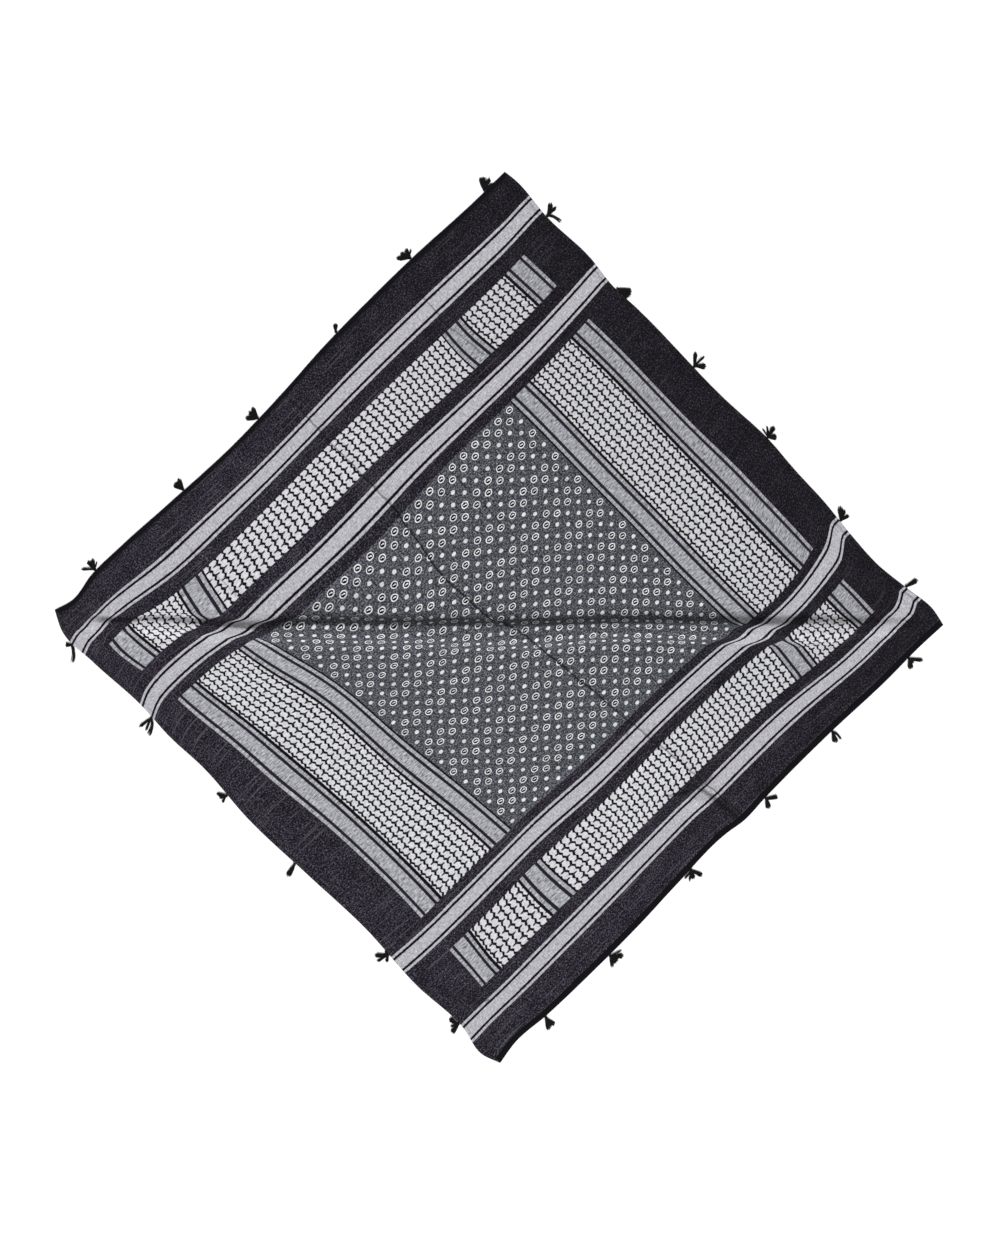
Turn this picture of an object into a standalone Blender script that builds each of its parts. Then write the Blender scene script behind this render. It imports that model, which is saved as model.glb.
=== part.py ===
"""Keffiyeh headscarf laid flat: one woven square, its four sewn hems and twenty-four small tassels.

Frame: metres, +Z up, the cloth lying on z = 0 and turned so that its corners point along X and Y.
Places on the cloth are given by two shares of its side, "rise" and "fall". Rise runs from the left
corner (0) to the top corner (1) and fall from the upper-left edge (0) to the lower-right edge (1).
"""

import math

import bmesh
import bpy
import numpy as np

# Driving dimensions
SIDE = 1.100                # side of the cut square
WALL = 0.0012               # thickness of the woven cloth
HEM_WALL = 0.0022           # thickness of the turned hem
SEAM_GAP = 0.0003           # gap between neighbouring pieces
HEM_WIDTHS = {"upper_left": 0.008, "upper_right": 0.006, "lower_right": 0.011, "lower_left": 0.006}

# Where the four corners lie, as shifts from a true square (mm)
CORNER_SHIFTS = {"left": (1, 13), "top": (10, 1), "right": (-1, -13), "bottom": (2, -1)}

# How far each edge bulges out between its corners: share of the side, outward shift (mm)
EDGE_WANDER = {
    "upper_left": [(0, 0), (0.03, -9), (0.08, -1), (0.15, -1), (0.25, -6), (0.38, -11), (0.50, -6),
                   (0.60, 2), (0.70, 5), (0.80, 5), (0.93, 0), (1, 0)],
    "upper_right": [(0, 0), (0.02, 3), (0.10, -2), (0.19, 3), (0.25, -3), (0.30, 0), (0.50, 0), (0.60, 6),
                    (0.66, 2), (0.73, 0), (0.79, -6), (0.86, -9), (0.92, -1), (0.97, 6), (1, 0)],
    "lower_right": [(0, 0), (0.04, -7), (0.11, -2), (0.20, 0), (0.32, -1), (0.40, -5), (0.52, -7),
                    (0.55, -2), (0.60, -4), (0.75, -5), (0.87, -1), (0.95, -2), (1, 0)],
    "lower_left": [(0, 0), (0.03, 16), (0.10, 16), (0.20, 9), (0.27, 12), (0.34, 8), (0.45, 15), (0.58, 9),
                   (0.70, 3), (0.82, 9), (0.92, 3), (0.97, 12), (1, 0)],
}
WANDER_REACH = 0.15         # share of the side over which an edge's bulge dies away inward

# The long fold from the left corner to the right one, a flat-topped ridge: a row for each section (mm)
LONG_FOLD_COLUMNS = ("x", "crest_y", "height", "crest", "upper_slope", "lower_slope")
LONG_FOLD = [
    (-745, -2, 0, 6, 9, 10),
    (-690, -13, 7, 8, 10, 14),
    (-600, -14, 9, 10, 13, 14),
    (-505, -22, 14, 12, 13, 15),
    (-430, -28, 18, 13, 13, 16),
    (-340, -23, 21, 17, 13, 19),
    (-200, -25, 21, 17, 15, 21),
    (-60, -27, 21, 20, 15, 21),
    (60, -27, 21, 20, 15, 21),
    (180, -19, 21, 12, 15, 20),
    (360, -20, 21, 14, 13, 17),
    (480, -22, 19, 14, 15, 16),
    (560, -22, 15, 14, 18, 14),
    (660, -18, 8, 11, 14, 13),
    (745, -15, 0, 8, 10, 10),
]

# Smaller creases: start and end (mm), sideways bow at the middle, height and half-width (mm)
CREASE_COLUMNS = ("name", "start", "end", "bow", "height", "half_width")
CREASES = [
    ("packing_upper_outer", (-400, 418), (-130, 118), 8, 3.0, 13),
    ("packing_upper_inner", (-190, 200), (-5, -12), -4, 3.0, 13),
    ("packing_lower_inner", (25, -8), (230, -184), -4, 3.0, 13),
    ("packing_lower_outer", (170, -134), (440, -358), 4, 3.0, 13),
    ("band_ripple_long", (20, -340), (226, -186), 6, 5.0, 18),
    ("band_ripple_short", (190, -304), (278, -218), 0, 4.5, 16),
    ("band_ripple_edge", (285, -312), (412, -348), 8, 4.0, 18),
    ("right_corner", (500, -16), (596, 2), 0, 3.0, 14),
    ("top_corner", (36, 648), (124, 653), 12, 3.5, 18),
    ("bottom_corner", (-105, -650), (-24, -673), -10, 3.0, 18),
]
FLAT_MARGIN = 0.030         # width inside the hems over which the relief dies away
LOWEST_RELIEF = 0.0002      # relief lower than this is left flat on the surface

# Grid of the woven square: cells a side, and how strongly its rows gather at the long fold
PANEL_CELLS = 52
ROW_GATHER = 1.7

# Tassels: side, distance along it clockwise (mm), then each lock's lean from straight out (degrees) and reach (mm)
TASSELS = [
    ("upper_left", 100, [(-42, 25), (14, 21), (62, 18)]),
    ("upper_left", 308, [(-13, 22), (22, 22)]),
    ("upper_left", 489, [(-44, 23), (9, 23)]),
    ("upper_left", 693, [(41, 16)]),
    ("upper_left", 876, [(-50, 26), (10, 21)]),
    ("upper_left", 1052, [(33, 24), (74, 23)]),
    ("upper_right", 107, [(-35, 26), (-6, 23), (62, 26)]),
    ("upper_right", 284, [(64, 25)]),
    ("upper_right", 474, [(-48, 27), (-5, 26), (43, 22)]),
    ("upper_right", 652, [(-52, 21), (-11, 22), (49, 18)]),
    ("upper_right", 844, [(-52, 26), (5, 20)]),
    ("upper_right", 1007, [(22, 25)]),
    ("lower_right", 85, [(-40, 26), (34, 19)]),
    ("lower_right", 272, [(-26, 22), (23, 22)]),
    ("lower_right", 438, [(-52, 23), (33, 20)]),
    ("lower_right", 621, [(-17, 22), (62, 22)]),
    ("lower_right", 829, [(-46, 25), (28, 21)]),
    ("lower_right", 986, [(-8, 23), (29, 24)]),
    ("lower_left", 99, [(-16, 19), (68, 19)]),
    ("lower_left", 269, [(-38, 15), (27, 24)]),
    ("lower_left", 495, [(-14, 25)]),
    ("lower_left", 662, [(-26, 15), (50, 19)]),
    ("lower_left", 849, [(-52, 33), (-22, 26), (7, 29)]),
    ("lower_left", 1037, [(-50, 31), (44, 17)]),
]
KNOT_OUT, KNOT_ALONG, KNOT_UP = 0.0028, 0.0034, 0.0023     # half sizes of a tassel's knot
KNOT_CLEARANCE = 0.0001     # a knot's bottom stands this far above the surface
KNOT_BACK_FACETS = 5        # facets round the side of a knot that bears no strands
ROOT_ARC_MARGIN = 50        # the strands' roots spread this far past the outer locks' leans (degrees)
ROOT_ARC_LIMIT = 190        # widest arc of a knot that bears strands (degrees)
STRANDS_PER_LOCK = 5
STRAND_SPACING = 1.90       # distance between the tips of a lock's neighbouring strands (mm)
STRAND_TIP = 0.0006         # half width of a strand's square tip
STRAND_TIP_LEVEL = 0.0010   # height of a tip's middle above the surface

CLOTH_COLOR = (0.045, 0.040, 0.055, 1.0)
HEM_COLOR = (0.012, 0.010, 0.014, 1.0)
TASSEL_COLOR = (0.006, 0.006, 0.007, 1.0)

MM = 0.001
HALF_DIAGONAL = SIDE / math.sqrt(2)


def clear_scene():
    """Remove every object, so that the script can be run again in an open file."""
    for obj in list(bpy.data.objects):
        bpy.data.objects.remove(obj, do_unlink=True)


def new_collection(name):
    collection = bpy.data.collections.new(name)
    bpy.context.scene.collection.children.link(collection)
    return collection


def make_material(name, color, roughness):
    material = bpy.data.materials.new(name)
    material.use_nodes = True
    principled = material.node_tree.nodes["Principled BSDF"]
    principled.inputs["Base Color"].default_value = color
    principled.inputs["Roughness"].default_value = roughness
    principled.inputs["Metallic"].default_value = 0.0
    return material


def smooth_table(at, rows, column):
    """Read a table's column at any place with a smooth curve; column 0 holds the rows' places."""
    places = np.array([row[0] for row in rows], dtype=float)
    values = np.array([row[column] for row in rows], dtype=float)
    slopes = np.gradient(values, places)
    left = np.clip(np.searchsorted(places, at) - 1, 0, len(places) - 2)
    span = places[left + 1] - places[left]
    share = np.clip((at - places[left]) / span, 0, 1)
    keep = 2 * share**3 - 3 * share**2 + 1
    ease_out = span * (share**3 - 2 * share**2 + share)
    ease_in = span * (share**3 - share**2)
    return (values[left] * keep + values[left + 1] * (1 - keep)
            + slopes[left] * ease_out + slopes[left + 1] * ease_in)


def smoothstep(share):
    share = np.clip(share, 0, 1)
    return share * share * (3 - 2 * share)


def laid_plan(rise, fall):
    """Where a point of the cloth lies in plan: a true square, plus the corners' and edges' shifts."""
    x = (rise + fall - 1) * HALF_DIAGONAL
    y = (rise - fall) * HALF_DIAGONAL
    corner_shares = {"left": (1 - rise) * (1 - fall), "top": rise * (1 - fall),
                     "right": rise * fall, "bottom": (1 - rise) * fall}
    for corner, share in corner_shares.items():
        x = x + share * CORNER_SHIFTS[corner][0] * MM
        y = y + share * CORNER_SHIFTS[corner][1] * MM
    # for each edge: place along it, depth inward from it, outward direction
    diagonal = math.sqrt(0.5)
    edges = {"upper_left": (rise, fall, (-diagonal, diagonal)),
             "upper_right": (fall, 1 - rise, (diagonal, diagonal)),
             "lower_right": (rise, 1 - fall, (diagonal, -diagonal)),
             "lower_left": (fall, rise, (-diagonal, -diagonal))}
    for edge, (along, depth, outward) in edges.items():
        fade = np.clip(1 - depth / WANDER_REACH, 0, 1)**2
        bulge = smooth_table(along, EDGE_WANDER[edge], 1) * MM * fade
        x = x + bulge * outward[0]
        y = y + bulge * outward[1]
    return x, y


def long_fold_height(x, y):
    """The long fold: a flat crest between two smooth slopes, following its table's sections."""
    crest_y, height, crest, upper, lower = (smooth_table(x / MM, LONG_FOLD, column) * MM
                                            for column in range(1, len(LONG_FOLD_COLUMNS)))
    slope = np.where(y > crest_y, upper, lower)
    inside_foot = crest / 2 + slope - np.abs(y - crest_y)
    return np.maximum(height, 0) * smoothstep(inside_foot / slope)


def crease_height(x, y, crease):
    """A rounded crease along a bowed line, fading to nothing at both ends."""
    start_x, start_y = np.multiply(crease["start"], MM)
    run_x, run_y = np.subtract(crease["end"], crease["start"]) * MM
    length = math.hypot(run_x, run_y)
    along = ((x - start_x) * run_x + (y - start_y) * run_y) / length**2
    across = ((y - start_y) * run_x - (x - start_x) * run_y) / length
    inside = np.clip(along, 0, 1)
    offset = across - 4 * crease["bow"] * MM * inside * (1 - inside)
    fade = np.sin(math.pi * inside)
    return crease["height"] * MM * fade * np.exp(-2 * (offset / (crease["half_width"] * MM))**2)


def relief(x, y, rise, fall):
    """Height of the cloth's underside: the long fold and the creases, flat beside the hems."""
    height = long_fold_height(x, y)
    for row in CREASES:
        height = height + crease_height(x, y, dict(zip(CREASE_COLUMNS, row)))
    height = np.where(height < LOWEST_RELIEF, 0, height)
    depth = np.minimum(np.minimum(rise, 1 - rise), np.minimum(fall, 1 - fall)) * SIDE
    widest_hem = max(HEM_WIDTHS.values())
    return height * smoothstep((depth - widest_hem - SEAM_GAP) / FLAT_MARGIN)


def panel_bounds():
    """The woven square's shares of rise and fall, inside the four hems and their gaps."""
    inset = {side: (width + SEAM_GAP) / SIDE for side, width in HEM_WIDTHS.items()}
    return inset["lower_left"], 1 - inset["upper_right"], inset["upper_left"], 1 - inset["lower_right"]


def gather_rows(rise, fall):
    """Slide grid points toward the long fold's crest, with the square's edges unmoved."""
    along = rise + fall - 1
    across = rise - fall
    reach = np.maximum(1 - np.abs(along), 1e-9)
    crest_y = smooth_table(along * HALF_DIAGONAL / MM, LONG_FOLD, 1) * MM
    crest = np.clip(crest_y / HALF_DIAGONAL / reach, -0.3, 0.3)
    from_crest = across / reach - crest
    far = np.where(from_crest > 0, 1 - crest, 1 + crest)
    gathered = reach * (crest + np.sign(from_crest) * far * (np.abs(from_crest) / far)**ROW_GATHER)
    return (1 + along + gathered) / 2, (1 + along - gathered) / 2


def grid_mesh(name, columns, rows, place):
    """A grid of quads whose points the function place sets from their shares of width and height."""
    mesh = bpy.data.meshes.new(name)
    grid = bmesh.new()
    bmesh.ops.create_grid(grid, x_segments=columns, y_segments=rows, size=0.5)
    grid.to_mesh(mesh)
    grid.free()
    coords = np.empty(len(mesh.vertices) * 3, dtype=np.float32)
    mesh.vertices.foreach_get("co", coords)
    coords = coords.reshape(-1, 3)
    points = np.stack(place(coords[:, 0] + 0.5, coords[:, 1] + 0.5), axis=1)
    mesh.vertices.foreach_set("co", points.astype(np.float32).ravel())
    mesh.update()
    return mesh


def thicken(obj, thickness):
    """Give an open surface its thickness upward, leaving the surface itself as the underside."""
    solidify = obj.modifiers.new("wall", 'SOLIDIFY')
    solidify.thickness = thickness
    solidify.offset = 1.0
    solidify.use_even_offset = True


def face_up(mesh):
    """Turn the surface over if its faces look down."""
    if mesh.polygons[0].normal.z < 0:
        mesh.flip_normals()


def add_object(name, mesh, collection, material):
    obj = bpy.data.objects.new(name, mesh)
    collection.objects.link(obj)
    mesh.materials.append(material)
    return obj


def make_panel(collection, material):
    """The woven square inside its hems, with the long fold and the creases."""
    low_rise, high_rise, low_fall, high_fall = panel_bounds()

    def place(width_share, height_share):
        across, down = gather_rows(width_share, height_share)
        rise = low_rise + (high_rise - low_rise) * across
        fall = low_fall + (high_fall - low_fall) * down
        x, y = laid_plan(rise, fall)
        return x, y, relief(x, y, rise, fall)

    mesh = grid_mesh("woven_square", PANEL_CELLS, PANEL_CELLS, place)
    surface = bmesh.new()
    surface.from_mesh(mesh)
    bmesh.ops.triangulate(surface, faces=surface.faces[:], quad_method='LONG_EDGE')
    surface.to_mesh(mesh)
    surface.free()
    face_up(mesh)
    mesh.shade_smooth()
    mesh.set_sharp_from_angle(angle=math.radians(50))
    thicken(add_object("woven_square", mesh, collection, material), WALL)


def hem_shares(side, along, depth):
    """Shares of rise and fall for a place along a side, clockwise, and a depth from its cut edge."""
    return {"upper_left": (along, depth), "upper_right": (1 - depth, along),
            "lower_right": (1 - along, 1 - depth), "lower_left": (depth, 1 - along)}[side]


def make_hem(side, collection, material):
    """One turned hem: a strip along the cut edge, mitred at both ends to its neighbours."""
    sides = list(HEM_WIDTHS)
    width = HEM_WIDTHS[side]
    before = HEM_WIDTHS[sides[sides.index(side) - 1]]
    after = HEM_WIDTHS[sides[(sides.index(side) + 1) % len(sides)]]

    def place(along_share, depth_share):
        depth = depth_share * width / SIDE
        start = (depth_share * before + SEAM_GAP) / SIDE
        end = 1 - (depth_share * after + SEAM_GAP) / SIDE
        rise, fall = hem_shares(side, start + (end - start) * along_share, depth)
        x, y = laid_plan(rise, fall)
        return x, y, np.zeros_like(x)

    mesh = grid_mesh("hem_" + side, PANEL_CELLS, 1, place)
    face_up(mesh)
    thicken(add_object("hem_" + side, mesh, collection, material), HEM_WALL)


def tassel_frame(side, along_mm):
    """A tassel's root on the cut edge, with the edge's directions clockwise along and straight out."""
    step = 0.005
    along = along_mm * MM / SIDE
    points = [np.array(laid_plan(*(np.array([share]) for share in hem_shares(side, place, 0.0)))).ravel()
              for place in (along - step, along, along + step)]
    run = points[2] - points[0]
    run = run / np.hypot(*run)
    return points[1], run, np.array([-run[1], run[0]])


def knot_longitudes(locks):
    """Directions of a knot's edges, clockwise from straight out: round the strands' arc, then the rest."""
    first, last = locks[0][0], locks[-1][0]
    arc = min(last - first + 2 * ROOT_ARC_MARGIN, ROOT_ARC_LIMIT)
    start = (first + last - arc) / 2
    strands = len(locks) * STRANDS_PER_LOCK
    front = start + arc * np.arange(strands) / strands
    back = start + arc + (360 - arc) * np.arange(KNOT_BACK_FACETS) / KNOT_BACK_FACETS
    return np.radians(np.concatenate([front, back]))


def make_tassel(name, side, along_mm, locks, collection, material):
    """One tassel: a knot against the hem, from whose facets the strands of its locks grow.

    The knot is a sphere of four bands. Odd strands grow from its upper middle band and even ones
    from its lower one, and each narrows or widens to a square tip just above the surface.
    """
    edge, run, out = tassel_frame(side, along_mm)
    root = edge + out * SEAM_GAP
    centre = root + out * KNOT_OUT
    longitudes = knot_longitudes(locks)
    tassel = bmesh.new()
    bmesh.ops.create_uvsphere(tassel, u_segments=len(longitudes), v_segments=4, radius=1.0)
    step = 2 * math.pi / len(longitudes)
    first = next(vertex.co.copy() for vertex in tassel.verts if abs(vertex.co.z) < 0.1)

    def slot(place):
        """Count of knot edges from the first one round to a place."""
        return (math.atan2(place.y, place.x) - math.atan2(first.y, first.x)) / step % len(longitudes)

    facets = {(int(slot(face.calc_center_median())), face.calc_center_median().z > 0): face
              for face in tassel.faces if len(face.verts) == 4}
    for vertex in tassel.verts:
        radius = math.hypot(vertex.co.x, vertex.co.y)
        longitude = longitudes[round(slot(vertex.co)) % len(longitudes)]
        plan = (centre + out * KNOT_OUT * radius * math.cos(longitude)
                + run * KNOT_ALONG * radius * math.sin(longitude))
        vertex.co = (plan[0], plan[1], KNOT_CLEARANCE + KNOT_UP * (1 + vertex.co.z))
    middle = (STRANDS_PER_LOCK - 1) / 2
    for strand in range(len(locks) * STRANDS_PER_LOCK):
        lean, reach = locks[strand // STRANDS_PER_LOCK]
        turn_step = strand % STRANDS_PER_LOCK - middle
        turn = math.radians(lean) + turn_step * STRAND_SPACING / reach
        heading = out * math.cos(turn) + run * math.sin(turn)
        sideways = run * math.cos(turn) - out * math.sin(turn)
        tip = root + heading * reach * MM * (1 - 0.05 * abs(turn_step))
        facet = facets[(strand, strand % 2 == 1)]
        base = facet.calc_center_median()
        facing = (longitudes[strand] + longitudes[strand + 1]) / 2
        breadth = run * math.cos(facing) - out * math.sin(facing)
        grown = bmesh.ops.extrude_discrete_faces(tassel, faces=[facet])["faces"][0]
        for vertex in grown.verts:
            offset = vertex.co - base
            beside = math.copysign(STRAND_TIP, offset.x * breadth[0] + offset.y * breadth[1])
            above = math.copysign(STRAND_TIP, offset.z)
            vertex.co = (*(tip + sideways * beside), STRAND_TIP_LEVEL + above)
    bmesh.ops.recalc_face_normals(tassel, faces=tassel.faces[:])
    mesh = bpy.data.meshes.new(name)
    tassel.to_mesh(mesh)
    tassel.free()
    add_object(name, mesh, collection, material)


def main():
    clear_scene()
    collection = new_collection("keffiyeh_headscarf")
    cloth = make_material("cloth", CLOTH_COLOR, 0.9)
    hem = make_material("hem", HEM_COLOR, 0.9)
    thread = make_material("tassel", TASSEL_COLOR, 0.85)
    make_panel(collection, cloth)
    for side in HEM_WIDTHS:
        make_hem(side, collection, hem)
    for number, (side, along_mm, locks) in enumerate(TASSELS, start=1):
        make_tassel(f"tassel_{number:02d}", side, along_mm, locks, collection, thread)


main()
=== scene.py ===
"""Keffiyeh headscarf laid out flat with a corner up: woven cloth, turned hems and yarn tassels.

Places on the cloth are given two ways. "Rise" and "fall" are shares of its side: rise runs from the
left corner (0) to the top corner (1), fall from the upper-left edge (0) to the lower-right edge (1).
The weave map holds the same two directions in metres of cloth, and the woven design is drawn on it.
"""

import math

import bmesh
import bpy
import numpy as np
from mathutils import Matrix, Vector


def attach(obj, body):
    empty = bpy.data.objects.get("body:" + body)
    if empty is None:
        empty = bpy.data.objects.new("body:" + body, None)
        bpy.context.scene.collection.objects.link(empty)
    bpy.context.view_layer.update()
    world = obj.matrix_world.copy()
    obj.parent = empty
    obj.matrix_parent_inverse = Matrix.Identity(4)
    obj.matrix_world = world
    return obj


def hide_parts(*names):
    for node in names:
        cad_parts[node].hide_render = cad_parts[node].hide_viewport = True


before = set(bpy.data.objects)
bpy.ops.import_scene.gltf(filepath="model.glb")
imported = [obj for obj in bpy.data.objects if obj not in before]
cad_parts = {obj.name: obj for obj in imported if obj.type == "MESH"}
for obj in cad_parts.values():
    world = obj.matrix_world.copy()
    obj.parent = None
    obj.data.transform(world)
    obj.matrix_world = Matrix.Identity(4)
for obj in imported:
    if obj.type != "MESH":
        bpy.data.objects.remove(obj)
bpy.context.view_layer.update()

MM = 0.001

# --- The square and the way it lies ---

SIDE = 1.100
DIAGONAL = math.sqrt(0.5)  # share of a diagonal step that each axis takes
HALF_DIAGONAL = SIDE / math.sqrt(2)
HEM_WIDTHS = {"upper_left": 0.008, "upper_right": 0.006, "lower_right": 0.011, "lower_left": 0.006}

# Where the four corners lie, as shifts from a true square (mm)
CORNER_SHIFTS = {"left": (1, 13), "top": (10, 1), "right": (-1, -13), "bottom": (2, -1)}

# How far each edge bulges out between its corners: share of the side, outward shift (mm)
EDGE_WANDER = {
    "upper_left": [
        (0, 0), (0.03, -9), (0.08, -1), (0.15, -1), (0.25, -6), (0.38, -11), (0.50, -6), (0.60, 2),
        (0.70, 5), (0.80, 5), (0.93, 0), (1, 0)],
    "upper_right": [
        (0, 0), (0.02, 3), (0.10, -2), (0.19, 3), (0.25, -3), (0.30, 0), (0.50, 0), (0.60, 6),
        (0.66, 2), (0.73, 0), (0.79, -6), (0.86, -9), (0.92, -1), (0.97, 6), (1, 0)],
    "lower_right": [
        (0, 0), (0.04, -7), (0.11, -2), (0.20, 0), (0.32, -1), (0.40, -5), (0.52, -7), (0.55, -2),
        (0.60, -4), (0.75, -5), (0.87, -1), (0.95, -2), (1, 0)],
    "lower_left": [
        (0, 0), (0.03, 16), (0.10, 16), (0.20, 9), (0.27, 12), (0.34, 8), (0.45, 15), (0.58, 9),
        (0.70, 3), (0.82, 9), (0.92, 3), (0.97, 12), (1, 0)],
}
WANDER_REACH = 0.15  # share of the side over which an edge's bulge dies away inward

# The long fold, a flat-topped ridge from the left corner to the right one (mm)
LONG_FOLD_COLUMNS = ("x", "crest_y", "height", "crest", "upper_slope", "lower_slope")
LONG_FOLD = [
    (-745, -2, 0, 6, 9, 10),
    (-690, -13, 7, 8, 10, 14),
    (-600, -14, 9, 10, 13, 14),
    (-505, -22, 14, 12, 13, 15),
    (-430, -28, 18, 13, 13, 16),
    (-340, -23, 21, 17, 13, 19),
    (-200, -25, 21, 17, 15, 21),
    (-60, -27, 21, 20, 15, 21),
    (60, -27, 21, 20, 15, 21),
    (180, -19, 21, 12, 15, 20),
    (360, -20, 21, 14, 13, 17),
    (480, -22, 19, 14, 15, 16),
    (560, -22, 15, 14, 18, 14),
    (660, -18, 8, 11, 14, 13),
    (745, -15, 0, 8, 10, 10),
]

# How the threads lie off a true square grid (mm), by place along the long fold. The stations run from
# the upper edges (over) through the fold to the lower edges (under), at quarters of the way out.
DRIFT_COLUMNS = ("x", "over_far", "over_middle", "over_near", "over_fold",
                 "under_fold", "under_near", "under_middle", "under_far")
# drawn sideways, to the right
SLIDE = [
    (-778, 0, 0, 0, 0, 0, 0, 0, 0),
    (-690, -8, -14, -22, -30, -30, -34, -34, -18),
    (-560, -6, -14, -28, -40, -42, -38, -34, -26),
    (-420, -2, -7, -20, -31, -31, -24, -13, -11),
    (-300, 0, -2, -7, -15, -12, 3, 5, 6),
    (-180, 1, 3, 3, 7, 8, 9, 13, 12),
    (-60, -6, 2, 11, 16, 19, 18, 26, 8),
    (0, -2, 5, 15, 19, 23, 22, 28, 3),
    (60, 2, 8, 18, 22, 27, 26, 29, 14),
    (180, 8, 11, 18, 25, 28, 31, 36, 31),
    (320, 10, 15, 20, 25, 31, 30, 27, 8),
    (480, 14, 26, 28, 25, 29, 19, 9, 2),
    (620, 16, 21, 17, 14, 14, 12, 5, 2),
    (690, 8, 12, 9, 8, 8, 6, 3, 1),
    (778, 0, 0, 0, 0, 0, 0, 0, 0),
]
# drawn down
DROP = [
    (-778, 0, 0, 0, 0, 0, 0, 0, 0),
    (-690, 4, 6, 7, 9, 10, 12, 13, 6),
    (-560, 8, 22, 32, 36, 22, 9, 3, 0),
    (-420, 9, 16, 28, 52, 29, 8, 0, 0),
    (-300, 4, 6, 30, 57, 36, 4, -1, -2),
    (-180, 3, 4, 37, 59, 28, 1, -8, -2),
    (-60, 15, 13, 28, 41, 11, -5, -17, -1),
    (0, 12, 13, 25, 33, 3, -7, -21, 2),
    (60, 9, 14, 22, 25, -4, -10, -24, -12),
    (180, 6, 18, 20, 20, -14, -14, -23, -32),
    (320, 8, 20, 27, 21, -7, -15, -23, -12),
    (480, 9, 27, 34, 26, 0, -6, -10, -3),
    (620, 14, 14, 14, 10, 8, 6, 3, 0),
    (690, 6, 9, 8, 6, 5, 4, 2, 0),
    (778, 0, 0, 0, 0, 0, 0, 0, 0),
]
STATIONS = (0.0, 0.25, 0.5, 0.75, 1.0)  # shares of the way from the fold out to the edge

# Creases and ripples: start, end, sideways bow at the middle, height and half-width (mm)
CREASE_COLUMNS = ("start", "end", "bow", "height", "half_width")
CREASES = [
    ((-400, 418), (-130, 118), 8, 3.0, 8),
    ((-190, 200), (-5, -12), -4, 3.0, 8),
    ((25, -8), (230, -184), -4, 3.0, 8),
    ((170, -134), (440, -358), 4, 3.0, 8),
    ((20, -340), (226, -186), 6, 5.0, 15),
    ((190, -304), (278, -218), 0, 4.5, 13),
    ((285, -312), (412, -348), 8, 4.0, 15),
    ((500, -16), (596, 2), 0, 3.0, 11),
    ((36, 648), (124, 653), 12, 3.5, 16),
    ((-105, -650), (-24, -673), -10, 3.0, 16),
    ((-110, 280), (45, 125), 0, 0.9, 7),
    ((-15, 375), (140, 220), 0, 0.9, 7),
    ((-180, 615), (-20, 455), 0, 0.9, 7),
    ((-330, -140), (-150, -300), 0, 0.8, 7),
    ((240, 190), (420, 30), 0, 0.8, 7),
]
# Painted shade along sharp creases and in the hollows beside them: path, half-width and edge softness (mm),
# and how much darker
CREASE_SHADE_LINES = [
    ([(-385, 401), (-185, 193)], 1.6, 2.6, 0.65),
    ([(-185, 193), (-140, 128), (-92, 66), (-12, -6)], 1.8, 2.6, 0.92),
    ([(8, -10), (34, -22), (54, -39), (124, -94), (191, -152)], 1.8, 2.6, 0.85),
    ([(191, -152), (317, -253), (423, -343)], 1.6, 2.6, 0.65),
    ([(-101, 271), (33, 136)], 1.6, 2.6, 0.40),
    ([(-6, 366), (128, 231)], 1.6, 2.6, 0.40),
    ([(-169, 605), (-95, 515), (-25, 460)], 1.6, 3.0, 0.50),
    ([(-590, 168), (-440, 20)], 1.4, 2.6, 0.30),
    ([(343, -295), (387, -324), (428, -360)], 3.0, 8.0, 0.85),
    ([(295, -313), (321, -308), (352, -295), (369, -279)], 2.2, 6.0, 0.80),
    ([(222, -196), (224, -210), (194, -238)], 1.6, 4.0, 0.60),
    ([(281, -229), (262, -227), (225, -258)], 1.6, 4.0, 0.60),
    ([(-770, 8), (-720, 4)], 1.6, 6.0, 0.55),
    ([(-694, -4), (-637, -4)], 3.0, 10.0, 0.55),
    ([(-105, -647), (-86, -665), (-51, -673), (-20, -669)], 2.2, 9.0, 0.60),
    ([(706, -17), (754, -4)], 1.6, 6.0, 0.50),
]
WAVER_SCALE = 40.0  # how closely the painted crease shade lines waver (a metre), and how far (mm)
WAVER_REACH = 8.0
FLAT_MARGIN = 0.030  # width inside the hems over which the relief dies away

CLOTH_CELLS = 214  # cells a side of the cloth's grid
ROW_GATHER = 1.35  # how strongly its rows gather at the long fold
CREST_LIMIT = 0.3  # furthest that the crest lies off the middle
CLOTH_WALL = 0.0010
CLOTH_LIFT = 0.0003  # the cloth's underside over the surface
HEM_OVERLAP = 0.9  # share of a hem's width that the cloth stops short of its cut edge


def stretch_between(places, at):
    """The stretch between two places that holds a point: its number, length and the share passed."""
    left = np.clip(np.searchsorted(places, at) - 1, 0, len(places) - 2)
    span = places[left + 1] - places[left]
    return left, span, np.clip((at - places[left]) / span, 0, 1)


def eased(share, span, start, end, start_slope, end_slope):
    """Cubic from one value to another that leaves and arrives at the given slopes."""
    keep = 2 * share**3 - 3 * share**2 + 1
    return (start * keep + end * (1 - keep) + start_slope * span * (share**3 - 2 * share**2 + share)
            + end_slope * span * (share**3 - share**2))


def smooth_table(at, rows, column):
    """Cubic through a table's column, with each place's slope taken from its two neighbours."""
    places = np.array([row[0] for row in rows], dtype=float)
    values = np.array([row[column] for row in rows], dtype=float)
    slopes = np.gradient(values, places)
    left, span, share = stretch_between(places, at)
    return eased(share, span, values[left], values[left + 1], slopes[left], slopes[left + 1])


def smoothstep(share):
    """Eased step: 3 s squared less 2 s cubed, for a share s held between 0 and 1."""
    share = np.clip(share, 0, 1)
    return share * share * (3 - 2 * share)


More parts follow.
